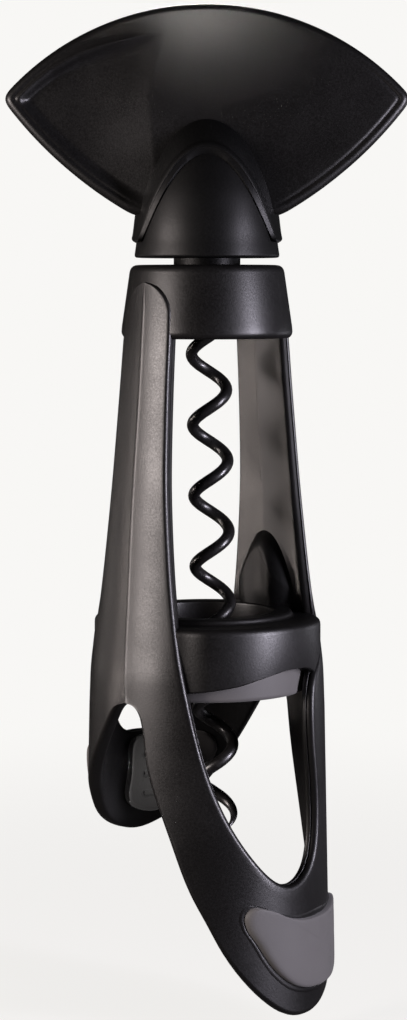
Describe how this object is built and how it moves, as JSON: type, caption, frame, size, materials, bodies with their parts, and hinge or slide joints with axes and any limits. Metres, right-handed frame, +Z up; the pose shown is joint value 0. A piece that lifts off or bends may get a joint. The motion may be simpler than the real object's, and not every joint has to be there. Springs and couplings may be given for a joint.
{
  "type": "corkscrew",
  "caption": "Twist corkscrew with a fan-shaped grip, an open frame that stands on a bottle, a coated wire worm and sprung squeeze jaws with soft pads.",
  "frame": {"origin": "on the worm's axis, in the plane of the neck ring's lower edge", "axes": "+Z up along the worm towards the grip, +X along the grip at rest, -Y towards the front"},
  "size_m": [0.0784, 0.0478, 0.1926],
  "materials": {
    "black_nylon": "moulded, fine spark-eroded grain",
    "grey_elastomer": "matt, soft",
    "acetal": "smooth",
    "clip_steel": "stamped",
    "coated_wire": "non-stick coating over steel, satin"
  },
  "bodies": {
    "frame": {"arm_frame": "black_nylon", "neck_liner": "grey_elastomer", "top_collar": "black_nylon", "thrust_washer": "acetal"},
    "handle": {"grip_front_shell": "black_nylon", "grip_rear_shell": "black_nylon", "handle_hub": "black_nylon", "worm": "coated_wire", "retaining_clip": "clip_steel"},
    "front_jaw": {"front_jaw": "black_nylon", "front_finger_pad": "grey_elastomer", "front_grip_pad": "grey_elastomer"},
    "back_jaw": {"back_jaw": "black_nylon", "back_finger_pad": "grey_elastomer", "back_grip_pad": "grey_elastomer"}
  },
  "joints": [
    {"name": "handle_turn", "type": "hinge", "parent": "frame", "child": "handle", "pos_m": [0, 0, 0.0807], "axis": [0, 0, 1], "continuous": true},
    {"name": "front_jaw_squeeze", "type": "hinge", "parent": "frame", "child": "front_jaw", "pos_m": [0, 0, -0.004], "axis": [0.6769, 0.7361, 0], "range_deg": [0, 5], "stiffness_Nm_per_rad": 0.5},
    {"name": "back_jaw_squeeze", "type": "hinge", "parent": "frame", "child": "back_jaw", "pos_m": [0, 0, -0.004], "axis": [-0.6769, -0.7361, 0], "range_deg": [0, 8], "stiffness_Nm_per_rad": 0.2}
  ]
}
